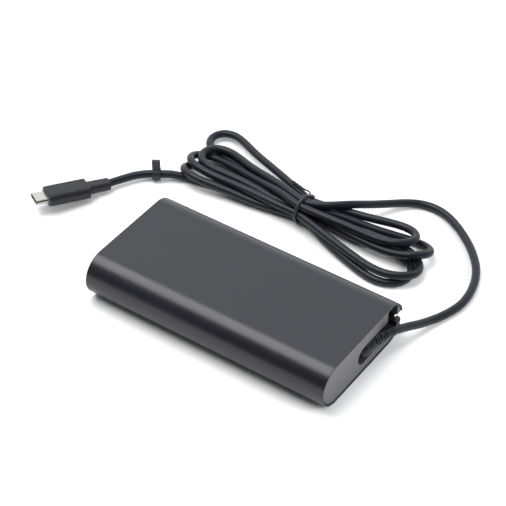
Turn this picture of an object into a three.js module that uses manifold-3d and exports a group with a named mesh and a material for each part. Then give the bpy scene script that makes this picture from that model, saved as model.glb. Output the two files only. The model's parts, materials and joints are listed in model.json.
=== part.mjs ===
// Slim laptop power adapter with a captive USB-C cord, folded into a tied hank behind the case.
// Millimetres, +Z up. +X points to the end that the low-voltage cord leaves, +Y to the side
// that its clip opens to. The origin is the centre of the case's underside.
import * as THREE from "three";
import { mergeVertices } from "three/addons/utils/BufferGeometryUtils.js";
import Module from "manifold-3d";

const wasm = await Module();
wasm.setup();

// ---- Driving dimensions ----
const CASE_LENGTH = 130;
const CASE_WIDTH = 66;
const CASE_HEIGHT = 22;
const MID_Z = CASE_HEIGHT / 2;
const END_X = CASE_LENGTH / 2;
const WALL = 1.8; // sleeve wall
const RIM = 1; // sleeve wall round an end cap
const REBATE = 6; // depth of the seat of an end cap
const GAP = 0.3; // clearance between neighbouring pieces
const CAP_INSET = 0.3; // how far a cap's face lies behind the sleeve's edge
const CAP_WALL = 1.8;
const OVERLAP = 0.1; // how far solids that are joined or cut run into each other
const SKIRT_END = 53; // how far in a cap's skirt reaches
const ARC_STEPS = 20; // facets of a half circle

// The strain relief's channel in the end face, and the thickness of the cap behind and round it.
const CHANNEL = { low: 5.3, high: 14.6, start: -4, back: 57.3, wall: 1.5 };
// The slot between the clip's fingers, by which the cord can leave at the case's side.
const MOUTH = { low: 8.5, high: 12.8, inner: 61.8, from: 28.4 };
const SIDE_WAY = { from: 26, to: 34, inner: 61.5 }; // the mouth's way through the sleeve
const NOTCH = { from: 20.4, to: 28.5, depth: 0.5 }; // gap beside the clip's upper finger
const CLIP_LIP = 0.4; // how far the clip's lower finger rises above its root

const CORD_DIAMETER = 4;
const CORD_SIDES = 8;
const CORD_REST = CORD_DIAMETER / 2 + 0.1; // height of the cord's centre on the table
const RELIEF_ROOT = { x: 62, y: -0.3, z: 10 };
const RELIEF_STEM = { y: RELIEF_ROOT.y + 4, radius: 2.7, flange: 4.2, flangeDepth: 2.1 };

// Outlines of the flat pieces inside: from and to along X, then along Y.
const SPREADER = [-46, 47, -21, 21];
const BOARD = [-48, 49, -25, 25];
const BOARD_TOP = 6.2;
const PARTS_BASE = BOARD_TOP + GAP;
const PARTS_TOP = 17.5;

const FLAT = 1e-3; // straight left between two quarter arcs of a stadium

const PLUG = {
  yaw: THREE.MathUtils.degToRad(-119), // the tip's heading
  pitch: THREE.MathUtils.degToRad(6.5), // the tip is lifted
  rear: new THREE.Vector3(-112.2, 26.4, 4.8),
  length: 21.5,
  width: 11.6,
  height: 6.6,
  edge: 1.8, // rounding along the overmold
  pocketDepth: 2.5, // how deep the shell sits in the overmold
  sheet: 0.3, // thickness of the shell's steel
  neckLength: 11.5,
  neckWidth: 6.8,
  neckHeight: 5.2,
  neckEdge: 2, // rounding along the neck
  shellLength: 6.5,
  shellWidth: 8.34,
  shellHeight: 2.56,
};

const STRAP = { bore: 2.3, wall: 1, width: 4, tab: 5.2, tabThickness: 2 };

// ---- Routes of the cord's uncoiled stretches, chosen by hand ----
const LEAD_ROUTE = [
  [67.3, 22, 9.55],
  [68.5, 26, 8.3],
  [70, 31, 6.6],
  [71.8, 36.5, 4.6],
  [73.8, 42.5, 3],
  [76, 48, 2.3],
  [78.3, 54.5, CORD_REST],
  [79.7, 61, CORD_REST],
  [79.6, 68, CORD_REST],
  [78.2, 75.2, CORD_REST],
  [75.8, 81.8, CORD_REST],
  [72.5, 87.8, CORD_REST],
  [68.3, 93.2, CORD_REST],
  [63, 98.7, CORD_REST],
  [57, 103.7, CORD_REST],
  [50.5, 108.2, CORD_REST],
  [43.7, 111.8, CORD_REST],
  [37, 113.7, CORD_REST],
  [30.5, 113.5, CORD_REST],
  [24.8, 111.3, 2.3],
  [20.2, 107.3, 2.9],
  [16.4, 102.2, 4.2],
  [13.4, 97.6, 5.6],
  [10.9, 93.7, 6.9],
];
const TAIL_ROUTE = [
  [-85.9, 60.1, 3.4],
  [-89.9, 57.5, 3.5],
  [-94.1, 54.8, 3.5],
  [-97.4, 52.1, 3.4],
  [-100.4, 48.6, 3.4],
  [-103, 44.2, 3.4],
  [-105.1, 40.1, 3.5],
  [-106.3, 37.5, 3.6],
];
// The strap sits midway along the tail's straight, level stretch.
const [STRAP_FROM, STRAP_TO] = TAIL_ROUTE.slice(1, 3).map((p) => new THREE.Vector3(...p));
const STRAP_AT = STRAP_FROM.clone().lerp(STRAP_TO, 0.5);
const STRAP_HEADING = Math.atan2(STRAP_TO.y - STRAP_FROM.y, STRAP_TO.x - STRAP_FROM.x);

// ---- Materials ----
function material(color, roughness, metalness = 0) {
  return new THREE.MeshStandardMaterial({ color, roughness, metalness });
}
const FINISH = {
  case: material(0x4a4a4f, 0.45),
  cap: material(0x5c5e63, 0.4),
  rubber: material(0x25262b, 0.55),
  tie: material(0x2c2d31, 0.5),
  steel: material(0xcfccc4, 0.25, 1),
  aluminium: material(0xc4c6c8, 0.35, 1),
  copper: material(0xa85f2c, 0.4, 1),
  ferrite: material(0x33332f, 0.7),
  board: material(0x1f5a34, 0.5),
  film: material(0x30343a, 0.35),
  yellow: material(0xd6b13a, 0.5),
  blue: material(0x2c5a92, 0.45),
  black: material(0x1b1c1e, 0.5),
  tin: material(0xb9bcc0, 0.3, 1),
  red: material(0xa32421, 0.5),
};

// ---- Solids: manifold-3d joins and cuts, three.js makes every shape ----
function solid(geometry) {
  const bare = geometry.clone();
  bare.deleteAttribute("normal");
  bare.deleteAttribute("uv");
  const merged = mergeVertices(bare, 1e-4);
  const vertProperties = new Float32Array(merged.attributes.position.array);
  const triVerts = new Uint32Array(merged.index.array);
  return new wasm.Manifold(new wasm.Mesh({ numProp: 3, vertProperties, triVerts }));
}

function geometryOf(body) {
  const mesh = body.getMesh();
  const geometry = new THREE.BufferGeometry();
  geometry.setAttribute("position", new THREE.BufferAttribute(mesh.vertProperties, 3));
  geometry.setIndex(new THREE.BufferAttribute(mesh.triVerts, 1));
  geometry.computeVertexNormals();
  return geometry;
}

function join(...geometries) {
  return geometryOf(geometries.map(solid).reduce((whole, piece) => whole.add(piece)));
}

function cut(geometry, ...tools) {
  return geometryOf(tools.map(solid).reduce((left, tool) => left.subtract(tool), solid(geometry)));
}

// ---- Shape helpers ----
function box(x0, x1, y0, y1, z0, z1) {
  const geometry = new THREE.BoxGeometry(x1 - x0, y1 - y0, z1 - z0);
  return geometry.translate((x0 + x1) / 2, (y0 + y1) / 2, (z0 + z1) / 2);
}

function roundedOutline(width, height, radius) {
  const x = width / 2 - radius;
  const y = height / 2 - radius;
  const shape = new THREE.Shape();
  shape.absarc(x, -y, radius, -Math.PI / 2, 0);
  shape.absarc(x, y, radius, 0, Math.PI / 2);
  shape.absarc(-x, y, radius, Math.PI / 2, Math.PI);
  shape.absarc(-x, -y, radius, Math.PI, Math.PI * 1.5);
  return shape;
}

// The outline is drawn in Y and Z, and runs along X from x0 to x1.
function prismX(outline, x0, x1, curveSegments = ARC_STEPS / 2) {
  const options = { depth: x1 - x0, bevelEnabled: false, curveSegments };
  const geometry = new THREE.ExtrudeGeometry(outline, options);
  const turn = new THREE.Matrix4().set(0, 0, 1, x0, 1, 0, 0, 0, 0, 1, 0, 0, 0, 0, 0, 1);
  return geometry.applyMatrix4(turn);
}

function prismZ(outline, z0, z1, curveSegments = ARC_STEPS / 2) {
  const options = { depth: z1 - z0, bevelEnabled: false, curveSegments };
  return new THREE.ExtrudeGeometry(outline, options).translate(0, 0, z0);
}

// A bar of stadium section, as wide and high as given, centred on the case's axis.
function stadiumBar(width, height, x0, x1) {
  const outline = roundedOutline(width, height, height / 2 - FLAT);
  return prismX(outline, x0, x1).translate(0, 0, MID_Z);
}

function cylinderX(radius, x0, x1, y, z, sides = 24) {
  const geometry = new THREE.CylinderGeometry(radius, radius, x1 - x0, sides);
  return geometry.rotateZ(Math.PI / 2).translate((x0 + x1) / 2, y, z);
}

function cylinderY(radius, y0, y1, x, z, sides = 24) {
  const geometry = new THREE.CylinderGeometry(radius, radius, y1 - y0, sides);
  return geometry.translate(x, (y0 + y1) / 2, z);
}

function cylinderZ(radius, z0, z1, x, y, sides = 24) {
  const geometry = new THREE.CylinderGeometry(radius, radius, z1 - z0, sides);
  return geometry.rotateX(Math.PI / 2).translate(x, y, (z0 + z1) / 2);
}

// A ring about a vertical axis, of rectangular section.
function ringZ(inner, outer, z0, z1, x, y) {
  const profile = [
    [inner, z0],
    [outer, z0],
    [outer, z1],
    [inner, z1],
    [inner, z0],
  ].map(([r, z]) => new THREE.Vector2(r, z));
  return new THREE.LatheGeometry(profile, 28).rotateX(Math.PI / 2).translate(x, y, 0);
}

function curveThrough(points) {
  const vectors = points.map((p) => new THREE.Vector3(...p));
  return new THREE.CatmullRomCurve3(vectors, false, "centripetal");
}

// A round tube along a curve.
function tube(points, radius, steps, sides = CORD_SIDES) {
  const section = new THREE.Shape();
  const corners = Array.from({ length: sides }, (_, i) => (2 * Math.PI * (i + 0.5)) / sides);
  section.setFromPoints(
    corners.map((a) => new THREE.Vector2(radius * Math.cos(a), radius * Math.sin(a))),
  );
  const options = { steps, bevelEnabled: false, extrudePath: curveThrough(points) };
  return new THREE.ExtrudeGeometry(section, options);
}

// Bends a solid that was turned about +Y so that its axis follows a curve.
function bendAlong(geometry, curve) {
  const position = geometry.attributes.position;
  const length = curve.getLength();
  const vertical = new THREE.Vector3(0, 0, 1);
  for (let i = 0; i < position.count; i++) {
    const at = THREE.MathUtils.clamp(position.getY(i) / length, 0, 1);
    const tangent = curve.getTangentAt(at);
    const side = new THREE.Vector3().crossVectors(tangent, vertical).normalize();
    const up = new THREE.Vector3().crossVectors(side, tangent);
    const point = curve.getPointAt(at);
    point.addScaledVector(side, position.getX(i));
    point.addScaledVector(up, position.getZ(i));
    position.setXYZ(i, point.x, point.y, point.z);
  }
  return geometry;
}

// ---- Case ----
function capSeat(x0, x1) {
  return stadiumBar(CASE_WIDTH - 2 * RIM, CASE_HEIGHT - 2 * RIM, x0, x1);
}

function housingSleeve() {
  const past = 1;
  return cut(
    stadiumBar(CASE_WIDTH, CASE_HEIGHT, -END_X, END_X),
    stadiumBar(CASE_WIDTH - 2 * WALL, CASE_HEIGHT - 2 * WALL, -END_X - past, END_X + past),
    capSeat(END_X - REBATE, END_X + past),
    capSeat(-END_X - past, -END_X + REBATE),
    box(SIDE_WAY.inner, END_X + past, SIDE_WAY.from, SIDE_WAY.to, CHANNEL.low, MOUTH.high),
  );
}

// The plug-shaped body that both end caps share: a face, a stepped rim and an open back.
function capBlank(solidBlock) {
  const face = END_X - CAP_INSET;
  const rimWidth = CASE_WIDTH - 2 * RIM - 2 * GAP;
  const rimHeight = CASE_HEIGHT - 2 * RIM - 2 * GAP;
  const skirtWidth = CASE_WIDTH - 2 * WALL - 2 * GAP;
  const skirtHeight = CASE_HEIGHT - 2 * WALL - 2 * GAP;
  const step = END_X - REBATE + GAP;
  const body = join(
    stadiumBar(rimWidth, rimHeight, step, face),
    stadiumBar(skirtWidth, skirtHeight, SKIRT_END, step + OVERLAP),
  );
  const hollow = stadiumBar(
    skirtWidth - 2 * CAP_WALL,
    skirtHeight - 2 * CAP_WALL,
    SKIRT_END - 1,
    face - CAP_WALL,
  );
  return cut(body, cut(hollow, solidBlock));
}

function dcEndCap() {
  const { wall } = CHANNEL;
  const past = END_X + 1;
  const channelHeight = CHANNEL.high - CHANNEL.low;
  const middle = (CHANNEL.high + CHANNEL.low) / 2;
  const roundEnd = CHANNEL.start + channelHeight / 2;
  const beside = MOUTH.from - OVERLAP;
  const stemHole = RELIEF_STEM.radius + GAP;
  const block = box(
    CHANNEL.back - wall,
    END_X,
    CHANNEL.start - wall - 1,
    CASE_WIDTH / 2,
    CHANNEL.low - wall,
    CHANNEL.high + wall,
  );
  return cut(
    capBlank(block),
    cylinderX(channelHeight / 2, CHANNEL.back, past, roundEnd, middle, 32),
    box(CHANNEL.back, past, roundEnd, MOUTH.from, CHANNEL.low, CHANNEL.high),
    box(CHANNEL.back, MOUTH.inner, beside, SIDE_WAY.to, CHANNEL.low, CHANNEL.high),
    box(MOUTH.inner - OVERLAP, past, beside, SIDE_WAY.to, CHANNEL.low, MOUTH.high),
    box(MOUTH.inner, past, NOTCH.from, NOTCH.to, CHANNEL.high - NOTCH.depth, CASE_HEIGHT),
    cylinderX(stemHole, CHANNEL.back - wall - 1, CHANNEL.back + 1, RELIEF_STEM.y, RELIEF_ROOT.z),
  );
}

// The clip's lower finger: a round-topped hook in the mouth, on a root inside the sleeve.
function cordClip() {
  const from = MOUTH.from + GAP;
  const side = CASE_WIDTH / 2;
  const low = CHANNEL.low + GAP;
  const back = END_X - REBATE + 2 * GAP;
  const face = END_X - CAP_INSET;
  const lip = (face - MOUTH.inner) / 2;
  const seatGap = 2 * (RIM + GAP);
  const root = box(back, MOUTH.inner + OVERLAP, from, side, low, MOUTH.low - CLIP_LIP);
  const hook = join(
    box(MOUTH.inner, face, from, side, low, MOUTH.low - lip),
    cylinderY(lip, from, side, face - lip, MOUTH.low - lip),
  );
  const seat = stadiumBar(CASE_WIDTH - seatGap, CASE_HEIGHT - seatGap, back - 1, END_X);
  const opening = stadiumBar(CASE_WIDTH - 2 * GAP, CASE_HEIGHT - 2 * GAP, back - 1, END_X);
  const inner = solid(root).intersect(solid(seat));
  const outer = solid(hook).intersect(solid(opening));
  return geometryOf(inner.add(outer));
}

const INLET = { width: 20, height: 15.4, back: -50, mouthWidth: 16.6, mouthHeight: 12.4 };

function acEndCap() {
  const around = GAP + CAP_WALL;
  const half = INLET.width / 2 + around;
  const block = box(SKIRT_END, END_X, -half, half, 0, CASE_HEIGHT);
  const opening = prismX(
    roundedOutline(INLET.width + 2 * GAP, INLET.height + 2 * GAP, 3.3),
    SKIRT_END - 1,
    END_X + 1,
  ).translate(0, 0, MID_Z);
  return cut(capBlank(block), opening).rotateZ(Math.PI);
}

// Outline of the three-lobed mouth: a lobe at each side and one below the middle.
function cloverleaf(width, height) {
  const lobe = 3.6;
  const side = width / 2 - lobe;
  const shape = new THREE.Shape();
  shape.absarc(side, height / 2 - lobe, lobe, -Math.PI / 3, Math.PI / 2);
  shape.absarc(-side, height / 2 - lobe, lobe, Math.PI / 2, Math.PI * (4 / 3));
  shape.absarc(0, -height / 2 + lobe, lobe, Math.PI * (7 / 6), Math.PI * (11 / 6));
  return shape;
}

function acInlet() {
  const front = -END_X + CAP_INSET;
  const body = prismX(roundedOutline(INLET.width, INLET.height, 3), front, INLET.back);
  const mouth = prismX(cloverleaf(INLET.mouthWidth, INLET.mouthHeight), front - 1, INLET.back - 2);
  const bores = INLET_PINS.map(([, y, z]) => cylinderX(1.5, front, INLET.back + 1, y, z, 16));
  return cut(body, mouth, ...bores).translate(0, 0, MID_Z);
}

const INLET_PINS = [
  ["inlet_pin_line", 4.7, 2.4],
  ["inlet_pin_neutral", -4.7, 2.4],
  ["inlet_pin_earth", 0, -2.9],
];

function inletPin(y, z) {
  const recess = 5.4; // how far a pin's tip lies inside the mouth
  const tip = -END_X + CAP_INSET + recess;
  const pin = cylinderX(1.2, tip + 0.8, INLET.back + 2, y, z + MID_Z, 16);
  const nose = new THREE.CylinderGeometry(0.7, 1.2, 0.9, 16)
    .rotateZ(Math.PI / 2)
    .translate(tip + 0.45, y, z + MID_Z);
  return join(pin, nose);
}

// ---- Strain relief of the low-voltage cord ----
const RELIEF_AXIS = [
  [RELIEF_ROOT.x, RELIEF_ROOT.y, RELIEF_ROOT.z],
  [62.2, 3.5, 10.05],
  [62.8, 8, 10.05],
  [63.9, 12.5, 10.05],
  [65.3, 17, 9.95],
  [67.1, 21.3, 9.7],
];

function dcStrainRelief() {
  const profileLength = 24;
  const profile = [
    [0, 0],
    [1.9, 0.25],
    [3.1, 1.1],
    [3.8, 2.6],
    [4, 4.5],
    [3.95, 9],
    [3.6, 13],
    [3, 17.5],
    [2.5, 22],
    [2.3, profileLength],
    [0, profileLength],
  ].map(([r, y]) => new THREE.Vector2(r, y));
  const curve = curveThrough(RELIEF_AXIS);
  const scale = curve.getLength() / profileLength;
  const taper = new THREE.LatheGeometry(profile, 24).scale(1, scale, 1);
  const { y, radius, flange: flangeRadius, flangeDepth } = RELIEF_STEM;
  const flangeFront = CHANNEL.back - CHANNEL.wall - GAP; // behind the channel's back wall
  const stub = cylinderX(radius, flangeFront - 1, RELIEF_ROOT.x, y, RELIEF_ROOT.z);
  const flangeBack = flangeFront - flangeDepth;
  const flange = cylinderX(flangeRadius, flangeBack, flangeFront, y, RELIEF_ROOT.z);
  return join(bendAlong(taper, curve), stub, flange);
}

// ---- Inside the case ----
// A trough of thin film that lines the sleeve below and at both sides.
const SHEET = { from: -48.5, to: 51, rim: 15, thickness: 0.5 };

function insulationSheet() {
  const inset = 2 * (WALL + GAP + OVERLAP);
  const width = CASE_WIDTH - inset;
  const height = CASE_HEIGHT - inset;
  const fold = 2 * SHEET.thickness;
  const half = CASE_WIDTH / 2;
  return cut(
    stadiumBar(width, height, SHEET.from, SHEET.to),
    stadiumBar(width - fold, height - fold, SHEET.from - 1, SHEET.to + 1),
    box(SHEET.from - 1, SHEET.to + 1, -half, half, SHEET.rim, CASE_HEIGHT),
  );
}

const CHOKE = { x: -36.5, y: 13, inner: 4.4, outer: 7.8, low: 8.2, high: 15.2 };

function commonModeWinding(side) {
  const wire = 1.3;
  const outline = new THREE.Shape();
  const half = THREE.MathUtils.degToRad(62);
  const middle = (side * Math.PI) / 2;
  outline.absarc(0, 0, CHOKE.outer + wire, middle - half, middle + half);
  outline.absarc(0, 0, CHOKE.inner - wire, middle + half, middle - half, true);
  const sector = prismZ(outline, CHOKE.low - wire, CHOKE.high + wire);
  return cut(
    sector.translate(CHOKE.x, CHOKE.y, 0),
    ringZ(CHOKE.inner - GAP, CHOKE.outer + GAP, CHOKE.low - GAP, CHOKE.high + GAP, CHOKE.x, CHOKE.y),
  );
}

// A drum core: a round leg between two square flanges.
const DRUM = { x: -10, y: 13.5, leg: 3.5, half: 7.8, flange: 1.8 };

function pfcChokeCore() {
  const { x, y, half, flange } = DRUM;
  return join(
    cylinderZ(DRUM.leg, PARTS_BASE + 1, PARTS_TOP - 1, x, y),
    box(x - half, x + half, y - half, y + half, PARTS_BASE, PARTS_BASE + flange),
    box(x - half, x + half, y - half, y + half, PARTS_TOP - flange, PARTS_TOP),
  );
}

function pfcChokeWinding() {
  const low = PARTS_BASE + DRUM.flange + GAP;
  const high = PARTS_TOP - DRUM.flange - GAP;
  return ringZ(DRUM.leg + GAP, DRUM.half - 0.5, low, high, DRUM.x, DRUM.y);
}

// A closed E core: two plates, two outer legs and a round middle leg.
const CORE = { x: 17, y: 12, halfX: 12, halfY: 11, plate: 2.4, leg: 4, outerLeg: 2.6 };

function transformerCore() {
  const { x, y, halfX, halfY, plate, outerLeg } = CORE;
  const left = x - halfX;
  const right = x + halfX;
  return join(
    box(left, right, y - halfY, y + halfY, PARTS_BASE, PARTS_BASE + plate),
    box(left, right, y - halfY, y + halfY, PARTS_TOP - plate, PARTS_TOP),
    box(left, right, y - halfY, y - halfY + outerLeg, PARTS_BASE + 1, PARTS_TOP - 1),
    box(left, right, y + halfY - outerLeg, y + halfY, PARTS_BASE + 1, PARTS_TOP - 1),
    cylinderZ(CORE.leg, PARTS_BASE + 1, PARTS_TOP - 1, x, y),
  );
}

function transformerWinding() {
  const low = PARTS_BASE + CORE.plate + GAP;
  const high = PARTS_TOP - CORE.plate - GAP;
  return ringZ(CORE.leg + GAP, CORE.halfY - CORE.outerLeg - GAP, low, high, CORE.x, CORE.y);
}

function heatSink(x, y0, y1) {
  const thickness = 1.6;
  const foot = 4;
  return join(
    box(x, x + thickness, y0, y1, PARTS_BASE, PARTS_TOP),
    box(x - foot, x + OVERLAP, y0, y1, PARTS_TOP - thickness, PARTS_TOP),
  );
}

function transistor(x, y) {
  const thickness = 4.4;
  const half = 5;
  return box(x, x + thickness, y - half, y + half, PARTS_BASE + 0.5, PARTS_TOP - 1);
}

// ---- Cord, hank and what is on them ----
const HANK = {
  top: 13,
  tie: new THREE.Vector2(-15, 73),
  waist: 9, // half width beside the tie
  waistLength: 8,
  // Centres of the round corners of its two ends.
  right: { near: [43, 60.5], far: [42, 85], radius: 14 },
  left: { near: [-77, 69], far: [-77, 94], radius: 11.5 },
  // The corners of the edge that meets the lead end to end.
  leadEdge: [
    [13.5, 91.1],
    [7.5, 94.9],
  ],
};

// The hank's plan: narrow at the tie, fanned out and rounded at both ends.
function hankOutline() {
  const { tie, waist, left, right } = HANK;
  const half = HANK.waistLength / 2;
  const shape = new THREE.Shape();
  shape.moveTo(tie.x - half, tie.y - waist);
  shape.lineTo(tie.x + half, tie.y - waist);
  shape.absarc(...right.near, right.radius, Math.PI * 1.35, Math.PI * 1.98);
  shape.absarc(...right.far, right.radius, 0, Math.PI * 0.55);
  for (const corner of HANK.leadEdge) shape.lineTo(...corner);
  shape.lineTo(tie.x + half, tie.y + waist);
  shape.lineTo(tie.x - half, tie.y + waist);
  shape.absarc(...left.far, left.radius, Math.PI * 0.45, Math.PI);
  shape.absarc(...left.near, left.radius, Math.PI, Math.PI * 1.5);
  shape.closePath();
  return shape;
}

function cordHank() {
  const { tie, waist } = HANK;
  const groove = 2.2; // depth of the tie's groove
  const half = 1.8;
  const past = waist + 1;
  const around = box(tie.x - half, tie.x + half, tie.y - past, tie.y + past, -1, HANK.top + 1);
  const core = prismX(
    roundedOutline(2 * (waist - groove), HANK.top - 2 * groove, 3.5),
    tie.x - half - 1,
    tie.x + half + 1,
  ).translate(0, tie.y, HANK.top / 2);
  const clearance = 0.05; // above the table
  return cut(prismZ(hankOutline(), clearance, HANK.top, 8), cut(around, core));
}

// A wire tie: a round ring in the hank's groove with two ends twisted together on top.
function cableTie() {
  const { tie, waist } = HANK;
  const wire = 1.5;
  const inner = 0.4; // how deep the ring's outside lies in the groove
  const width = 2 * (waist - inner);
  const height = HANK.top - 2 * inner;
  const ring = cut(
    prismX(roundedOutline(width, height, 4.6), tie.x - wire / 2, tie.x + wire / 2),
    prismX(roundedOutline(width - 2 * wire, height - 2 * wire, 3.6), tie.x - 3, tie.x + 3),
  ).translate(0, tie.y, HANK.top / 2);
  const end = tube(
    [
      [tie.x, tie.y + 4, HANK.top - inner - wire / 2],
      [tie.x - 0.5, tie.y + 6, HANK.top + 0.8],
      [tie.x - 3, tie.y + 8.5, HANK.top + 1.2],
      [tie.x - 7, tie.y + 9.5, HANK.top + 1],
    ],
    wire / 2,
    8,
  );
  return join(ring, end);
}

function strapBody() {
  const { bore, wall, width, tab, tabThickness } = STRAP;
  const outer = bore + wall;
  const loop = cylinderY(outer, -width / 2, width / 2, 0, 0);
  const flag = box(-tabThickness / 2, tabThickness / 2, -width / 2, width / 2, bore, outer + tab);
  return cut(join(loop, flag), cylinderY(bore, -width, width, 0, 0));
}

// The plug's pieces are drawn along +X, from its rear at 0 to the tip, then placed together.
function plugBar(width, height, radius, x0, x1) {
  return prismX(roundedOutline(width, height, radius), x0, x1, 6);
}

function plugOvermold() {
  const { length, width, height, shellWidth, shellHeight } = PLUG;
  const pocketRadius = (shellHeight + 2 * GAP) / 2 - FLAT;
  const pocket = [shellWidth + 2 * GAP, shellHeight + 2 * GAP, pocketRadius];
  return cut(
    plugBar(width, height, PLUG.edge, 0, length),
    plugBar(...pocket, length - PLUG.pocketDepth, length + 1),
  );
}

function plugNeck() {
  const { neckLength, neckWidth, neckHeight } = PLUG;
  return plugBar(neckWidth, neckHeight, PLUG.neckEdge, -neckLength, -GAP);
}

const SHELL_FLOOR = 0.8; // thickness of the shell's closed rear

function plugShell() {
  const { length, shellLength, shellWidth, shellHeight, sheet } = PLUG;
  const start = length - PLUG.pocketDepth + GAP;
  const inner = [shellWidth - 2 * sheet, shellHeight - 2 * sheet, shellHeight / 2 - sheet - FLAT];
  return cut(
    plugBar(shellWidth, shellHeight, shellHeight / 2 - FLAT, start, length + shellLength),
    plugBar(...inner, start + SHELL_FLOOR, length + shellLength + 1),
  );
}

function plugInsert() {
  const { length, shellLength, shellWidth, shellHeight } = PLUG;
  const play = 2 * (PLUG.sheet + GAP);
  const start = length - PLUG.pocketDepth + 2 * GAP + SHELL_FLOOR;
  const end = length + shellLength - 0.4;
  const outline = [shellWidth - play, shellHeight - play, (shellHeight - play) / 2 - FLAT];
  const tongue = { halfWidth: 3.1, halfHeight: 0.35 }; // the slot takes a port's tongue
  const { halfWidth, halfHeight } = tongue;
  const slot = box(start + 1.5, end + 1, -halfWidth, halfWidth, -halfHeight, halfHeight);
  return cut(plugBar(...outline, start, end), slot);
}

// ---- Assembly ----
const adapter = new THREE.Group();

function add(parent, name, geometry, finish) {
  const mesh = new THREE.Mesh(geometry, finish);
  mesh.name = name;
  parent.add(mesh);
}

function addCase() {
  add(adapter, "housing_sleeve", housingSleeve(), FINISH.case);
  add(adapter, "dc_end_cap", dcEndCap(), FINISH.cap);
  add(adapter, "cord_clip", cordClip(), FINISH.black);
  add(adapter, "ac_end_cap", acEndCap(), FINISH.cap);
  add(adapter, "ac_inlet", acInlet(), FINISH.black);
  for (const [name, y, z] of INLET_PINS) add(adapter, name, inletPin(y, z), FINISH.tin);
}

function addPowerStage() {
  const choke = [CHOKE.inner, CHOKE.outer, CHOKE.low, CHOKE.high, CHOKE.x, CHOKE.y];
  add(adapter, "insulation_sheet", insulationSheet(), FINISH.film);
  add(adapter, "bottom_heat_spreader", box(...SPREADER, 3.1, 3.9), FINISH.aluminium);
  add(adapter, "top_heat_spreader", box(...SPREADER, 18.7, 19.6), FINISH.aluminium);
  add(adapter, "main_circuit_board", box(...BOARD, BOARD_TOP - 1.6, BOARD_TOP), FINISH.board);
  add(adapter, "input_fuse", cylinderY(2.1, -22.5, -14, -43.5, 9), FINISH.tin);
  add(adapter, "x_capacitor", box(-44, -28, -11.5, -2.5, PARTS_BASE, 17), FINISH.yellow);
  add(adapter, "y_capacitor", cylinderX(4, -29, -25.5, -18.5, 10.8), FINISH.blue);
  add(adapter, "common_mode_core", ringZ(...choke), FINISH.ferrite);
  add(adapter, "common_mode_winding_1", commonModeWinding(1), FINISH.copper);
  add(adapter, "common_mode_winding_2", commonModeWinding(-1), FINISH.copper);
  add(adapter, "bridge_rectifier", box(-24.5, -20.9, -9, 6, PARTS_BASE, 17), FINISH.black);
  add(adapter, "pfc_choke_core", pfcChokeCore(), FINISH.ferrite);
  add(adapter, "pfc_choke_winding", pfcChokeWinding(), FINISH.copper);
  add(adapter, "bulk_capacitor_1", cylinderX(5.3, -19, 11, -17.4, 12), FINISH.black);
  add(adapter, "bulk_capacitor_2", cylinderX(5.3, -19, 3, -6, 12), FINISH.black);
  add(adapter, "transformer_core", transformerCore(), FINISH.ferrite);
  add(adapter, "transformer_winding", transformerWinding(), FINISH.yellow);
  add(adapter, "primary_heat_sink", heatSink(17, -23, -2.5), FINISH.aluminium);
  add(adapter, "primary_transistor", transistor(18.9, -12), FINISH.black);
}

function addOutputStage() {
  add(adapter, "optocoupler", box(25, 30, -8.5, -1.5, PARTS_BASE, 10.3), FINISH.black);
  add(adapter, "secondary_heat_sink", heatSink(34.3, 1.5, 21), FINISH.aluminium);
  add(adapter, "secondary_transistor", transistor(36.2, 11), FINISH.black);
  const places = [
    [41, -6],
    [41, -16],
    [31.5, -16],
  ];
  places.forEach(([x, y], i) => {
    const can = cylinderZ(4, PARTS_BASE, PARTS_TOP, x, y);
    add(adapter, `output_capacitor_${i + 1}`, can, FINISH.blue);
  });
  add(adapter, "usb_power_board", box(43.6, 44.8, 2, 20, PARTS_BASE, 16.5), FINISH.board);
  add(adapter, "usb_power_controller", box(41.8, 43.3, 8, 13, 9, 14), FINISH.black);
}

function addWires() {
  const radius = 0.8;
  const mains = [
    ["input_wire_line", 4.7],
    ["input_wire_neutral", -4.7],
  ];
  for (const [name, y] of mains) {
    const route = [
      [INLET.back + 2.4, y, 13.4],
      [-46.9, y, 13.35],
      [-46.1, y, 12.6],
      [-45.9, y * 1.05, 10.5],
      [-45.9, y * 1.1, 7.4],
      [-45.9, y * 1.1, PARTS_BASE],
    ];
    add(adapter, name, tube(route, radius, 8), FINISH.black);
  }
  const output = [
    ["output_wire_positive", RELIEF_STEM.y - 2, FINISH.red],
    ["output_wire_negative", RELIEF_STEM.y + 2, FINISH.black],
  ];
  for (const [name, y, finish] of output) {
    const route = [
      [53.1, y, 10],
      [50, y, 9.9],
      [47.4, y - 0.6, 9],
      [46.8, y - 0.8, 7.6],
      [46.8, y - 0.8, PARTS_BASE],
    ];
    add(adapter, name, tube(route, radius, 8), finish);
  }
}

function addCord() {
  const cordRadius = CORD_DIAMETER / 2;
  add(adapter, "dc_strain_relief", dcStrainRelief(), FINISH.rubber);
  add(adapter, "cord_lead", tube(LEAD_ROUTE, cordRadius, 26), FINISH.rubber);
  add(adapter, "cord_hank", cordHank(), FINISH.rubber);
  add(adapter, "cable_tie", cableTie(), FINISH.tie);
  add(adapter, "cord_tail", tube(TAIL_ROUTE, cordRadius, 12), FINISH.rubber);
}

function addStrap() {
  const group = new THREE.Group();
  group.position.copy(STRAP_AT);
  group.rotation.z = STRAP_HEADING - Math.PI / 2;
  add(group, "cord_strap", strapBody(), FINISH.rubber);
  adapter.add(group);
}

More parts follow.
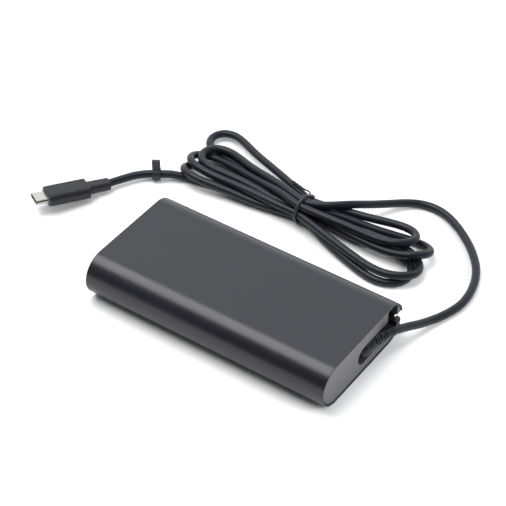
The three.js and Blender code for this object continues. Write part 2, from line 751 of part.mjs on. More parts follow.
function addPlug() {
  const group = new THREE.Group();
  group.rotation.set(0, -PLUG.pitch, PLUG.yaw, "ZYX");
  group.position.copy(PLUG.rear);
  add(group, "plug_neck", plugNeck(), FINISH.rubber);
  add(group, "plug_overmold", plugOvermold(), FINISH.rubber);
  add(group, "usb_c_shell", plugShell(), FINISH.steel);
  add(group, "usb_c_insert", plugInsert(), FINISH.black);
  adapter.add(group);
}

addCase();
addPowerStage();
addOutputStage();
addWires();
addCord();
addStrap();
addPlug();

export default adapter;
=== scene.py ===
import json
import math
import bmesh
import bpy
import numpy as np
from mathutils import Matrix, Vector


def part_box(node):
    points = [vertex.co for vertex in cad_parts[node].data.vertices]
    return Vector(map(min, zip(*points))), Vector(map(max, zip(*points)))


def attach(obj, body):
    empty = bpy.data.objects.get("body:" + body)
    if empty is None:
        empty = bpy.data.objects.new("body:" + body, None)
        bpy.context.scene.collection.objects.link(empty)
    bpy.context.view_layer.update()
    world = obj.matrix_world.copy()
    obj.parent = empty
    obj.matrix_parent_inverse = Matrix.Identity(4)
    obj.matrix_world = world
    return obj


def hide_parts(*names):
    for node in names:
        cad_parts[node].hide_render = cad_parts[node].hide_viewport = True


# Looks of a slim laptop power adapter: a dark satin case, a captive cord folded into a tied
# hank behind it, and a USB-C plug. Metres, +Z up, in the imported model's own frame.
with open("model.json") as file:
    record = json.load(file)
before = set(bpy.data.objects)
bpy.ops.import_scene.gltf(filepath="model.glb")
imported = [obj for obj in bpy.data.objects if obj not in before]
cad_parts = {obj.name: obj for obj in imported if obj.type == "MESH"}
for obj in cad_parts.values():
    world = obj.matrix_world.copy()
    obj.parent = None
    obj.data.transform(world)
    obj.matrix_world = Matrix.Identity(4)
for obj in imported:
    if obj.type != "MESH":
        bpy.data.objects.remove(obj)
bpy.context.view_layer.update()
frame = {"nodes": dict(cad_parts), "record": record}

MM = 0.001
BODY = "adapter"
SHARP = 35  # degrees: edges over this angle stay sharp
SHARP_ON_RUBBER = 40  # the same on the cord's soft parts and the plug
WELD = 0.001 * MM  # points closer than this are one


# ---- Camera, lights and floor ----
def make_camera():
    """The camera stands in front of the case's right-hand end and looks down at its middle."""
    azimuth, elevation, distance = math.radians(34.85), math.radians(41.39), 0.8385
    aim = Vector((-0.0069, 0.01806, 0.02129))
    back = Vector(
        (
            math.sin(azimuth) * math.cos(elevation),
            -math.cos(azimuth) * math.cos(elevation),
            math.sin(elevation),
        )
    )
    data = bpy.data.cameras.new("camera")
    data.lens = 129.92
    data.sensor_width = 36
    data.clip_start = 0.01
    camera = bpy.data.objects.new("camera", data)
    camera.location = aim + distance * back
    camera.rotation_euler = back.to_track_quat("Z", "Y").to_euler()
    bpy.context.scene.collection.objects.link(camera)
    bpy.context.scene.camera = camera


def area_light(name, place, aim, size, power, glossy=True):
    """A rectangular light; one that isn't glossy doesn't show in reflections."""
    data = bpy.data.lights.new(name, "AREA")
    data.shape = "RECTANGLE"
    data.size, data.size_y = size
    data.energy = power
    light = bpy.data.objects.new(name, data)
    light.visible_glossy = glossy
    light.location = place
    light.rotation_euler = (Vector(place) - Vector(aim)).to_track_quat("Z", "Y").to_euler()
    bpy.context.scene.collection.objects.link(light)


def make_studio():
    """Softboxes overhead and at the right, in surroundings that are bright behind the object."""
    area_light(
        "softbox_above", place=(-0.4, -0.09, 0.9), aim=(-0.4, -0.09, 0), size=(0.75, 0.75), power=9.4
    )
    area_light(
        "softbox_right", place=(1.0, 0.15, 0.5), aim=(0.1, 0.03, 0), size=(0.8, 0.7), power=13,
        glossy=False,
    )
    world = bpy.data.worlds.new("studio")
    world.use_nodes = True
    tree = world.node_tree
    direction = tree.nodes.new("ShaderNodeTexCoord").outputs["Generated"]
    behind = tree.nodes.new("ShaderNodeVectorMath")
    behind.operation = "DOT_PRODUCT"
    away_from_camera = (-0.57, 0.82, 0)
    behind.inputs[1].default_value = away_from_camera
    ramp = tree.nodes.new("ShaderNodeValToRGB")
    ramp.color_ramp.elements.new(0.5)
    spread = tree.nodes.new("ShaderNodeMapRange")
    spread.inputs["From Min"].default_value = -1
    tint = (0.95, 0.97, 1)
    levels = ((0.3, 0.04), (0.55, 0.42), (0.85, 1.0))  # from in front to behind
    for stop, (position, level) in zip(ramp.color_ramp.elements, levels):
        stop.position = position
        stop.color = (*scaled(tint, level), 1)
    background = tree.nodes["Background"]
    background.inputs["Strength"].default_value = 1.45
    tree.links.new(direction, behind.inputs[0])
    tree.links.new(behind.outputs["Value"], spread.inputs["Value"])
    tree.links.new(spread.outputs["Result"], ramp.inputs["Fac"])
    tree.links.new(ramp.outputs["Color"], background.inputs["Color"])
    bpy.context.scene.world = world
    bpy.context.scene.view_settings.view_transform = "Standard"


def make_floor():
    """A level sheet of white paper."""
    half = 4
    mesh = bpy.data.meshes.new("floor")
    corners = [(-half, -half, 0), (half, -half, 0), (half, half, 0), (-half, half, 0)]
    mesh.from_pydata(corners, [], [(0, 1, 2, 3)])
    floor = bpy.data.objects.new("floor", mesh)
    bpy.context.scene.collection.objects.link(floor)
    paper = finish("floor_paper", (0.9, 0.9, 0.9), spread=0.01, broad=0.3, roughness=(0.8, 0.9))
    mesh.materials.append(paper)


# ---- Materials ----
class Nodes:
    """A short way to write a material's nodes: each call adds one and wires it up."""

    def __init__(self, name):
        self.material = bpy.data.materials.new(name)
        self.material.use_nodes = True
        self.tree = self.material.node_tree
        self.shader = self.tree.nodes["Principled BSDF"]
        self.place = self.add("ShaderNodeTexCoord").outputs["Object"]

    def add(self, kind, **settings):
        """A new node. A setting is one of its properties or of its inputs."""
        node = self.tree.nodes.new(kind)
        for key, value in settings.items():
            if hasattr(node, key):
                setattr(node, key, value)
            else:
                node.inputs[key.replace("_", " ")].default_value = value
        return node

    def link(self, output, target):
        self.tree.links.new(output, target)

    def set(self, **values):
        """Sets inputs of the surface shader."""
        for key, value in values.items():
            self.shader.inputs[key.replace("_", " ")].default_value = value

    def noise(self, size, stretch=(1, 1, 1), detail=3):
        """Noise whose lumps are about as big as size, in metres, drawn out along stretch."""
        mapping = self.add("ShaderNodeMapping")
        mapping.inputs["Scale"].default_value = [1 / (size * s) for s in stretch]
        self.link(self.place, mapping.inputs["Vector"])
        node = self.add("ShaderNodeTexNoise", Scale=1, Detail=detail)
        self.link(mapping.outputs["Vector"], node.inputs["Vector"])
        return node.outputs["Fac"]

    def mix(self, factor, low, high, target):
        """Colours the target by a factor that lies mostly between a quarter and three quarters."""
        node = self.add("ShaderNodeValToRGB")
        first, last = node.color_ramp.elements
        first.position, last.position = 0.25, 0.75
        first.color, last.color = (*low, 1), (*high, 1)
        self.link(factor, node.inputs["Fac"])
        self.link(node.outputs["Color"], target)

    def span(self, factor, low, high, target):
        """Sets the target between two values, by a factor that lies mostly about a half."""
        node = self.add("ShaderNodeMapRange", From_Min=0.3, From_Max=0.7, To_Min=low, To_Max=high)
        self.link(factor, node.inputs["Value"])
        self.link(node.outputs["Result"], target)

    def relief(self, height, depth):
        """Raises the surface by depth, in metres, where height is 1."""
        node = self.add("ShaderNodeBump", Strength=1, Distance=depth)
        self.link(height, node.inputs["Height"])
        self.link(node.outputs["Normal"], self.shader.inputs["Normal"])


def scaled(colour, factor):
    """A colour made darker or lighter."""
    return tuple(min(1.0, channel * factor) for channel in colour)


def finish(
    name,
    colour,
    spread=0.08,
    broad=12 * MM,
    roughness=(0.4, 0.5),
    grain=0.35 * MM,
    depth=0.0,
    stretch=(1, 1, 1),
    **shader,
):
    """A surface whose colour and roughness vary a little, with a fine grain of the given depth."""
    nodes = Nodes(name)
    nodes.set(**shader)
    low, high = scaled(colour, 1 - spread), scaled(colour, 1 + spread)
    wear = broad / 3  # the roughness varies over shorter ways than the colour
    nodes.mix(nodes.noise(broad, stretch), low, high, nodes.shader.inputs["Base Color"])
    nodes.span(nodes.noise(wear, stretch), *roughness, nodes.shader.inputs["Roughness"])
    if depth:
        nodes.relief(nodes.noise(grain, stretch), depth)
    return nodes.material


def wound(name, colour, pitch, axis, roughness=(0.25, 0.4), **shader):
    """Wire or tape laid turn by turn: ridges a pitch apart along an axis, with painted shade in the
    grooves and a painted highlight on the ridges.
    """
    # Painted shade and light: the colour is darker in the grooves and lighter on the ridge tops.
    shaded_grooves, lit_ridges = scaled(colour, 0.45), scaled(colour, 1.1)
    blotch, ridge = 3 * MM, 0.15 * MM
    period = math.pi / 10  # of the wave texture at scale 1
    nodes = Nodes(name)
    nodes.set(**shader)
    ridges = nodes.add("ShaderNodeTexWave", bands_direction=axis, Scale=1, Distortion=0.6)
    ridges.inputs["Detail Scale"].default_value = 1.5
    turns = nodes.add("ShaderNodeMapping")
    turns.inputs["Scale"].default_value = [period / pitch] * 3
    nodes.link(nodes.place, turns.inputs["Vector"])
    nodes.link(turns.outputs["Vector"], ridges.inputs["Vector"])
    height = ridges.outputs["Fac"]
    # Painted shade in the grooves and painted highlight on the ridges, by the ridges' height.
    nodes.mix(height, shaded_grooves, lit_ridges, nodes.shader.inputs["Base Color"])
    nodes.span(nodes.noise(blotch), *roughness, nodes.shader.inputs["Roughness"])
    nodes.relief(height, ridge)
    return nodes.material


def printed_board(name):
    """Solder mask over copper tracks: the tracks show as slightly lighter, raised lines."""
    mask, over_track = (0.012, 0.09, 0.03), (0.03, 0.17, 0.06)
    grid, blotch, step = 2.2 * MM, 4 * MM, 0.05 * MM
    roughness = (0.3, 0.42)
    nodes = Nodes(name)
    nodes.set(Specular_IOR_Level=0.5)
    cells = nodes.add("ShaderNodeTexBrick", Scale=1, Mortar_Size=0.06, Bias=0)
    cells.inputs["Brick Width"].default_value = 3.4
    cells.inputs["Row Height"].default_value = 1.3
    shrunk = nodes.add("ShaderNodeMapping")
    shrunk.inputs["Scale"].default_value = [1 / grid] * 3
    nodes.link(nodes.place, shrunk.inputs["Vector"])
    nodes.link(shrunk.outputs["Vector"], cells.inputs["Vector"])
    track = cells.outputs["Fac"]
    nodes.mix(track, mask, over_track, nodes.shader.inputs["Base Color"])
    nodes.span(nodes.noise(blotch), *roughness, nodes.shader.inputs["Roughness"])
    nodes.relief(track, step)
    return nodes.material


def make_finishes():
    """The material for each slot that the record names."""
    metal = {"Metallic": 1.0}
    return {
        "case_plastic": finish(
            "satin_case_plastic", (0.0098, 0.0098, 0.0145), spread=0.05, broad=40 * MM,
            roughness=(0.29, 0.33), grain=0.3 * MM, depth=0.004 * MM, Specular_IOR_Level=0.47,
        ),
        "cap_plastic": finish(
            "moulded_cap_plastic", (0.052, 0.052, 0.055), spread=0.06, broad=9 * MM,
            roughness=(0.28, 0.34), grain=0.25 * MM, depth=0.006 * MM, Specular_IOR_Level=0.65,
        ),
        "black_plastic": finish(
            "black_plastic", (0.012, 0.012, 0.013), roughness=(0.22, 0.34), depth=0.006 * MM,
        ),
        "tinned_metal": finish(
            "tinned_metal", (0.62, 0.63, 0.64), roughness=(0.22, 0.38), depth=0.004 * MM, **metal,
        ),
        "insulation_film": finish(
            "insulation_film", (0.035, 0.037, 0.045), spread=0.15, broad=25 * MM,
            roughness=(0.25, 0.4), grain=6 * MM, depth=0.05 * MM,
        ),
        "aluminium_sheet": finish(
            "brushed_aluminium", (0.7, 0.71, 0.72), spread=0.06, broad=1.2 * MM,
            roughness=(0.28, 0.42), grain=0.5 * MM, depth=0.004 * MM, stretch=(12, 1, 1), **metal,
        ),
        "circuit_board": printed_board("printed_circuit_board"),
        "capacitor_box": finish(
            "yellow_capacitor_box", (0.72, 0.5, 0.06), roughness=(0.35, 0.5), depth=0.01 * MM,
        ),
        "capacitor_sleeve": finish(
            "shrunk_blue_sleeve", (0.03, 0.09, 0.24), roughness=(0.25, 0.38), grain=2 * MM,
            depth=0.03 * MM,
        ),
        "ferrite": finish(
            "sintered_ferrite", (0.05, 0.048, 0.045), spread=0.2, broad=2 * MM,
            roughness=(0.6, 0.8), grain=0.5 * MM, depth=0.03 * MM,
        ),
        "copper_wire": wound("enamelled_copper", (0.62, 0.24, 0.08), 0.8 * MM, "Z", **metal),
        "winding_tape": wound(
            "yellow_winding_tape", (0.75, 0.52, 0.08), 2.4 * MM, "Z", roughness=(0.3, 0.45),
        ),
        "wire_black": finish(
            "black_wire_cover", (0.02, 0.02, 0.021), roughness=(0.35, 0.5), depth=0.01 * MM,
        ),
        "wire_red": finish(
            "red_wire_cover", (0.4, 0.03, 0.025), roughness=(0.35, 0.5), depth=0.01 * MM,
        ),
        "cord_rubber": finish(
            "cord_cover", (0.0085, 0.0096, 0.015), spread=0.18, broad=7 * MM,
            roughness=(0.36, 0.44), grain=0.4 * MM, depth=0.01 * MM, Specular_IOR_Level=0.3,
        ),
        "tie_plastic": finish(
            "tie_cover", (0.024, 0.026, 0.032), spread=0.15, broad=2 * MM,
            roughness=(0.4, 0.52), grain=0.3 * MM, depth=0.01 * MM,
        ),
        "strap_rubber": finish(
            "strap_rubber", (0.012, 0.0125, 0.017), spread=0.12, broad=2 * MM,
            roughness=(0.5, 0.62), grain=0.3 * MM, depth=0.015 * MM,
        ),
        "plug_plastic": finish(
            "plug_overmold_plastic", (0.011, 0.011, 0.015), spread=0.1, broad=5 * MM,
            roughness=(0.4, 0.48), grain=0.25 * MM, depth=0.008 * MM, Specular_IOR_Level=0.36,
        ),
        "plug_steel": finish(
            "drawn_steel", (0.5, 0.485, 0.44), spread=0.05, broad=1.5 * MM,
            roughness=(0.2, 0.3), grain=0.4 * MM, depth=0.002 * MM, **metal,
        ),
    }


# ---- Mesh helpers ----
def place_piece(piece, slot, replaces=(), body=BODY):
    """Dresses a new piece, sets it on its body and hides the CAD nodes that it stands for."""
    piece.data.materials.append(FINISHES[slot])
    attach(piece, body)
    if replaces:
        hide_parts(*replaces)
    return piece


def object_from(name, bm):
    """Turns an edit mesh into an object of the scene."""
    mesh = bpy.data.meshes.new(name)
    bmesh.ops.recalc_face_normals(bm, faces=bm.faces)
    bm.to_mesh(mesh)
    bm.free()
    mesh.shade_smooth()
    piece = bpy.data.objects.new(name, mesh)
    bpy.context.scene.collection.objects.link(piece)
    return piece


def soften(piece, sharp=SHARP):
    """Keeps edges over an angle sharp and weights the normals of the rest by face size."""
    mesh = piece.data
    bm = bmesh.new()
    bm.from_mesh(mesh)
    bmesh.ops.remove_doubles(bm, verts=bm.verts, dist=WELD)
    for edge in bm.edges:
        edge.smooth = len(edge.link_faces) == 2 and edge.calc_face_angle(0) < math.radians(sharp)
    bm.to_mesh(mesh)
    bm.free()
    weighted = piece.modifiers.new("weighted_normals", "WEIGHTED_NORMAL")
    weighted.keep_sharp = True
    weighted.weight = 80
    return piece


def fillet(corners, radius, steps=4, closed=True):
    """Rounds each corner of a polyline in a plane with an arc of about the given radius."""
    most = 0.45  # of a side, so that the arcs of two corners don't meet
    rounded = []
    count = len(corners)
    for i, corner in enumerate(corners):
        here = Vector(corner)
        if not closed and i in (0, count - 1):
            rounded.append(here)
            continue
        before = Vector(corners[i - 1]) - here
        after = Vector(corners[(i + 1) % count]) - here
        reach = min(radius, before.length * most, after.length * most)
        start = here + before.normalized() * reach
        end = here + after.normalized() * reach
        for k in range(steps + 1):
            t = k / steps
            rounded.append((1 - t) ** 2 * start + 2 * t * (1 - t) * here + t * t * end)
    return rounded


def section(half_width, half_height, radius, inset, steps):
    """Points of a rounded rectangle in Y and Z, drawn in by inset."""
    least = 0.05 * MM
    corner = max(radius - inset, least)
    across, up = half_width - inset - corner, half_height - inset - corner
    points = []
    for quarter, (side_y, side_z) in enumerate(((1, -1), (1, 1), (-1, 1), (-1, -1))):
        for k in range(steps + 1):
            angle = math.pi / 2 * (quarter - 1 + k / steps)
            y = side_y * across + corner * math.cos(angle)
            z = side_z * up + corner * math.sin(angle)
            points.append((y, z))
    return points


def loft(name, half_width, half_height, radius, outline, closed, steps=10):
    """Runs a rounded rectangle along X. outline lists (x, inset), and a closed one is a tube."""
    bm = bmesh.new()
    rings = []
    for x, inset in outline:
        ring = section(half_width, half_height, radius, inset, steps)
        rings.append([bm.verts.new((x, y, z)) for y, z in ring])
    pairs = list(zip(rings, rings[1:]))
    if closed:
        pairs.append((rings[-1], rings[0]))
    else:
        bm.faces.new(rings[0])
        bm.faces.new(rings[-1])
    for one, two in pairs:
        for i in range(len(one)):
            j = (i + 1) % len(one)
            bm.faces.new((one[i], one[j], two[j], two[i]))
    return object_from(name, bm)


def box_at(low, high):
    """A closed box between two corners, as a cutting tool."""
    bm = bmesh.new()
    size = Vector(high) - Vector(low)
    middle = (Vector(high) + Vector(low)) / 2
    shape = Matrix.Translation(middle) @ Matrix.Diagonal((*size, 1))
    bmesh.ops.create_cube(bm, size=1, matrix=shape)
    return object_from("cutter", bm)


def carve(piece, cutters):
    """Cuts the tools out of a piece, and removes them."""
    for cutter in cutters:
        modifier = piece.modifiers.new("carve", "BOOLEAN")
        modifier.operation = "DIFFERENCE"
        modifier.solver = "EXACT"
        modifier.object = cutter
    graph = bpy.context.evaluated_depsgraph_get()
    mesh = bpy.data.meshes.new_from_object(piece.evaluated_get(graph))
    piece.modifiers.clear()
    piece.data = mesh
    for cutter in cutters:
        bpy.data.objects.remove(cutter)


def rounded_copy(node, width, segments=3):
    """A piece of a CAD node's shape, whose sharp edges are rounded off by width."""
    bm = bmesh.new()
    bm.from_mesh(frame["nodes"][node].data)
    bmesh.ops.remove_doubles(bm, verts=bm.verts, dist=WELD)
    flat, sharp = math.radians(1), math.radians(SHARP)
    bmesh.ops.dissolve_limit(bm, angle_limit=flat, verts=bm.verts, edges=bm.edges)
    edges = [e for e in bm.edges if len(e.link_faces) == 2 and e.calc_face_angle(0) > sharp]
    bmesh.ops.bevel(
        bm, geom=edges, offset=width, segments=segments, profile=0.5, affect="EDGES",
        clamp_overlap=True,
    )
    return soften(object_from(node + "_rounded", bm))


# ---- Cord ----
CORD = 4 * MM  # diameter
STEP = 1.5 * MM  # spacing of the points on the cord's centreline
# The strain relief's centreline, from its root in the case to where the cord leaves it.
RELIEF_AXIS = [
    (0.062, -0.0003, 0.01),
    (0.0622, 0.0035, 0.01005),
    (0.0628, 0.008, 0.01005),
    (0.0639, 0.0125, 0.01005),
    (0.0653, 0.017, 0.00995),
    (0.0671, 0.0213, 0.0097),
]
# From the strain relief along the table and round to the hank.
LEAD_ROUTE = [
    (0.0673, 0.022, 0.00955),
    (0.0685, 0.026, 0.0083),
    (0.07, 0.031, 0.0066),
    (0.0718, 0.0365, 0.0046),
    (0.0738, 0.0425, 0.003),
    (0.076, 0.048, 0.0023),
    (0.0783, 0.0545, 0.0021),
    (0.0797, 0.061, 0.0021),
    (0.0796, 0.068, 0.0021),
    (0.0782, 0.0752, 0.0021),
    (0.0758, 0.0818, 0.0021),
    (0.0725, 0.0878, 0.0021),
    (0.0683, 0.0932, 0.0021),
    (0.063, 0.0987, 0.0021),
    (0.057, 0.1037, 0.0021),
    (0.0505, 0.1082, 0.0021),
    (0.0437, 0.1118, 0.0021),
    (0.037, 0.1137, 0.0021),
    (0.0305, 0.1135, 0.0021),
    (0.0248, 0.1113, 0.0023),
    (0.0202, 0.1073, 0.0029),
    (0.0164, 0.1022, 0.0042),
    (0.0134, 0.0976, 0.0056),
    (0.0109, 0.0937, 0.0069),
]
# From the lead's end up over the hank to the tie.
JOIN_ROUTE = [
    (0.0083, 0.0894, 0.0083),
    (0.0049, 0.0847, 0.0095),
    (0.0002, 0.0796, 0.0104),
    (-0.006, 0.0754, 0.0105),
]
# From the tie along the table, under the last loop, to the tail.
UNDER_ROUTE = [
    (-0.024, 0.0722, 0.0033),
    (-0.034, 0.0706, 0.0026),
    (-0.044, 0.0692, 0.0021),
    (-0.054, 0.0681, 0.0021),
    (-0.064, 0.067, 0.0021),
    (-0.073, 0.0656, 0.0021),
    (-0.08, 0.0636, 0.0024),
]
# From the hank, raised by the strap, to the plug's neck.
TAIL_ROUTE = [
    (-0.0859, 0.0601, 0.0034),
    (-0.0899, 0.0575, 0.0035),
    (-0.0941, 0.0548, 0.0035),
    (-0.0974, 0.0521, 0.0034),
    (-0.1004, 0.0486, 0.0034),
    (-0.103, 0.0442, 0.0034),
    (-0.1051, 0.0401, 0.0035),
    (-0.1063, 0.0375, 0.0036),
]

TIE = Vector((-0.015, 0.073))
TIE_WIRE = 1.3 * MM
TIE_SLACK = 0.6 * MM  # how far the wire stands off the bundle at its upper far corner
LOWEST_ROW = 3.5 * MM  # the bundle rests on the tie's wire
ROW_RISE = CORD * math.sin(math.pi / 3)
# Where each strand passes the tie: its offset along Y in diameters, and its row.
STRANDS = {
    "low_near": (-1, 0),
    "low_middle": (0, 0),
    "low_far": (1, 0),
    "middle_nearest": (-1.5, 1),
    "middle_near": (-0.5, 1),
    "middle_far": (0.5, 1),
    "middle_farthest": (1.5, 1),
    "top_near": (-1, 2),
    "top_far": (0, 2),
}
# Each fold of the hank: the strand that it leaves by, the strand that it comes back by, the
# centre of its loop, its heading in degrees off the X axis, the heights of its far and near
# legs, and its radius.
FOLDS = [
    ("top_far", "middle_near", (-0.0726, 0.08), 12, 0.0064, 0.0078, 0.0074),
    ("middle_near", "middle_far", (0.0435, 0.079), 16, 0.0026, 0.006, 0.0081),
    ("middle_far", "middle_farthest", (-0.08, 0.0966), 17, 0.0034, 0.003, 0.007),
    ("middle_farthest", "top_near", (0.0345, 0.0805), 18, 0.007, 0.009, 0.0081),
    ("top_near", "middle_nearest", (-0.0768, 0.0762), 4, 0.0036, 0.0074, 0.0074),
    ("middle_nearest", "low_far", (0.043, 0.0656), 10, 0.0026, 0.0055, 0.01),
    ("low_far", "low_near", (-0.0755, 0.0692), -5, 0.0023, 0.0063, 0.0076),
    ("low_near", "low_middle", (0.0395, 0.0645), 4, 0.0021, 0.0021, 0.011),
]
TURN_POINTS = 13  # points on the half circle of a fold
LEG_POINTS = 12
# How straight a leg leaves the tie and arrives at its half circle, as a part of its length.
LEAVE_PULL = 0.45
ARRIVE_PULL = 0.7

# What holds the cord still while it settles: the lead before it is this far left and this far
# back, the tail beyond this corner, and the strands within the tie.
LEAD_HELD = {"left_to": 0.026, "beyond": 0.1}
TAIL_HELD = {"left_of": -0.0845, "before": 0.062}
TIE_HELD = {"half_length": 2.2 * MM, "from": 0.06, "to": 0.086}

TIGHTEST = 7.4 * MM  # the tightest bend's radius that settling allows
TABLE_GAP = 0.05 * MM
DROP = 0.001 * MM  # how far the cord falls in each round of settling
STRAND_GAP = 1.005  # diameters between strands that lie against each other
FAIRING = ((1, 0.3), (2, 0.25))  # points to each side, and the share of a kink that is taken out


def strand_at_tie(name):
    """Where a strand's centre passes the tie."""
    offset, row = STRANDS[name]
    return np.array([TIE.x, TIE.y + offset * CORD, LOWEST_ROW + row * ROW_RISE])


def hermite(start, start_pull, end, end_pull):
    """A leg's inner points, from one end's place and pull to the other's."""
    t = np.linspace(0, 1, LEG_POINTS, endpoint=False)[1:, None]
    from_start = (2 * t**3 - 3 * t**2 + 1) * start + (t**3 - 2 * t**2 + t) * start_pull
    return from_start + (3 * t**2 - 2 * t**3) * end + (t**3 - t**2) * end_pull


def unit(vector):
    """A vector's direction, with length 1."""
    return vector / np.linalg.norm(vector)


def level(vector):
    """The unit vector along the plan of a vector."""
    return unit(np.array([vector[0], vector[1], 0.0]))


def fold(leaves, returns, centre, heading, far_height, near_height, radius):
    """One fold: a leg out from the tie, a half circle and a leg back."""
    start, end = strand_at_tie(leaves), strand_at_tie(returns)
    side = math.copysign(1, centre[0] - TIE.x)
    turn = math.radians(heading)
    outward = np.array([side * math.cos(turn), math.sin(turn), 0])
    far = np.array([-side * math.sin(turn), math.cos(turn), 0])
    first = math.copysign(1, start[1] - end[1])  # 1 if the far leg comes first
    middle = np.array([*centre, (far_height + near_height) / 2])
    tilt = np.array([0, 0, (far_height - near_height) / 2])
    arc = []
    for angle in np.linspace(0, math.pi, TURN_POINTS):
        across = first * math.cos(angle)
        flat = radius * (across * far + math.sin(angle) * outward)
        arc.append(middle + flat + across * tilt)
    reach = np.linalg.norm((arc[0] - start)[:2])
    leave, arrive = LEAVE_PULL * reach, ARRIVE_PULL * reach
    leg_out = hermite(start, leave * level(arc[0] - start), arc[0], arrive * outward)
    leg_back = hermite(arc[-1], -arrive * outward, end, leave * level(end - arc[-1]))
    return [start, *leg_out, *arc, *leg_back]


def even_curve(points, spacing):
    """A centripetal Catmull-Rom curve through the points, with points an even way apart."""
    points = np.array(points, float)
    before, after = 2 * points[0] - points[1], 2 * points[-1] - points[-2]
    padded = np.vstack([before, points, after])
    fine = 9  # points between two that are given
    pieces = []
    for a, b, c, d in zip(padded, padded[1:], padded[2:], padded[3:]):
        knots = [0.0]
        for one, two in ((a, b), (b, c), (c, d)):
            knots.append(knots[-1] + math.sqrt(max(np.linalg.norm(two - one), 1e-9)))
        u = np.linspace(knots[1], knots[2], fine)[:-1, None]

        def between(low, high, first, last):
            return (last - u) / (last - first) * low + (u - first) / (last - first) * high

        ab = between(a, b, knots[0], knots[1])
        bc = between(b, c, knots[1], knots[2])
        cd = between(c, d, knots[2], knots[3])
        abc = between(ab, bc, knots[0], knots[2])
        bcd = between(bc, cd, knots[1], knots[3])
        pieces.append(between(abc, bcd, knots[1], knots[2]))
    dense = np.vstack([*pieces, points[-1:]])
    run = np.r_[0, np.cumsum(np.linalg.norm(np.diff(dense, axis=0), axis=1))]
    at = np.linspace(0, run[-1], int(round(run[-1] / spacing)) + 1)
    return np.stack([np.interp(at, run, dense[:, k]) for k in range(3)], 1)


def freedom(path):
    """1 for a point that may move, 0 where the lead, the tail and the tie hold the cord."""
    free = np.ones(len(path))
    x, y = path[:, 0], path[:, 1]
    lead_end = np.argmax((x < LEAD_HELD["left_to"]) & (y > LEAD_HELD["beyond"]))
    in_tail = (x < TAIL_HELD["left_of"]) & (y < TAIL_HELD["before"])
    tail = np.nonzero(~in_tail)[0][-1]
    in_tie = abs(x - TIE.x) < TIE_HELD["half_length"]
    free[:lead_end] = 0
    free[tail + 1 :] = 0
    free[in_tie & (y > TIE_HELD["from"]) & (y < TIE_HELD["to"])] = 0
    return free


def open_bends(path, free):
    """Pushes the ends of a short stretch apart where it bends too tight, and a little elsewhere."""
    stiffness = 0.003
    half_stretch = 4 * MM
    links = 2 * round(half_stretch / STEP)
    span = links * STEP
    shortest = 2 * TIGHTEST * math.sin(span / (2 * TIGHTEST))
    chord = path[links:] - path[:-links]
    length = np.linalg.norm(chord, axis=1)
    too_short = np.where(length < shortest, (length - shortest) / 2, 0)
    excess = stiffness * (length - span) + too_short
    push = (excess / length)[:, None] * chord / 2
    moves = np.zeros_like(path)
    moves[:-links] += push
    moves[links:] -= push
    path += moves * free[:, None]


def part_strands(path, free, pairs):
    """Moves strands that lie in each other a diameter apart."""
    damping = 0.9
    i, j = pairs
    apart = path[j] - path[i]
    distance = np.linalg.norm(apart, axis=1)
    clear = STRAND_GAP * CORD
    close = distance < clear
    i, j, apart, distance = i[close], j[close], apart[close], distance[close]
    share = np.maximum(free[i] + free[j], 1e-9)
    push = ((distance - clear) / distance / share)[:, None] * apart
    moves, touches = np.zeros_like(path), np.zeros(len(path))
    np.add.at(moves, i, push * free[i][:, None])
    np.add.at(moves, j, -push * free[j][:, None])
    np.add.at(touches, i, 1)
    np.add.at(touches, j, 1)
    path += damping * moves / np.maximum(touches, 1)[:, None]


def fair(path, free, reach, amount):
    """Spreads a local kink along the cord, as its stiffness does."""
    bow = np.zeros_like(path)
    bow[reach:-reach] = (path[: -2 * reach] + path[2 * reach :]) / 2 - path[reach:-reach]
    kink = np.zeros_like(path)
    inner = slice(2 * reach, -2 * reach)
    kink[inner] = (bow[reach : -3 * reach] + bow[3 * reach : -reach]) / 2 - bow[inner]
    path -= amount * kink * free[:, None]


def keep_lengths(path, free, rest):
    """Pulls neighbouring points back to their distance, every other pair at a time."""
    for first in (0, 1, 0, 1, 0, 1):
        a = np.arange(first, len(path) - 1, 2)
        link = path[a + 1] - path[a]
        length = np.linalg.norm(link, axis=1)
        share = np.maximum(free[a] + free[a + 1], 1e-9)
        pull = ((length - rest[a]) / length / share)[:, None] * link
        path[a] += pull * free[a][:, None]
        path[a + 1] -= pull * free[a + 1][:, None]


def settle(path, rounds=100):
    """Lets the laid-out cord settle: strands rest beside and on each other and on the table."""
    look_every = 8  # rounds between two searches for strands that are near each other
    look_within = CORD + 3 * MM
    same_strand = 10 * MM  # points closer along the cord than this don't part
    path = path.copy()
    free = freedom(path)
    rest = np.linalg.norm(np.diff(path, axis=0), axis=1)
    first, second = np.triu_indices(len(path), math.ceil(same_strand / STEP))
    floor = CORD / 2 + TABLE_GAP
    for round_number in range(rounds):
        path[:, 2] -= DROP * free
        if round_number % look_every == 0:
            near = np.linalg.norm(path[first] - path[second], axis=1) < look_within
            pairs = first[near], second[near]
        for _ in range(2):
            open_bends(path, free)
            part_strands(path, free, pairs)
            for reach, amount in FAIRING:
                fair(path, free, reach, amount)
            keep_lengths(path, free, rest)
            low = (path[:, 2] < floor) & (free > 0)
            path[low, 2] = floor
    smoothing = 0.25
    for _ in range(3):
        middle = (path[:-2] + path[2:]) / 2
        path[1:-1] += smoothing * (middle - path[1:-1]) * free[1:-1, None]
    return path


def tube_curve(name, runs, diameter, resolution=8):
    """A round tube along each run of points. A run is (points, closed)."""
    data = bpy.data.curves.new(name, "CURVE")
    data.dimensions = "3D"
    data.bevel_depth = diameter / 2
    data.bevel_resolution = resolution
    data.use_fill_caps = True
    for points, closed in runs:
        spline = data.splines.new("POLY")
        spline.points.add(len(points) - 1)
        for point, place in zip(spline.points, points):
            point.co = (*place, 1)
        spline.use_cyclic_u = closed
    piece = bpy.data.objects.new(name, data)
    bpy.context.scene.collection.objects.link(piece)
    return piece


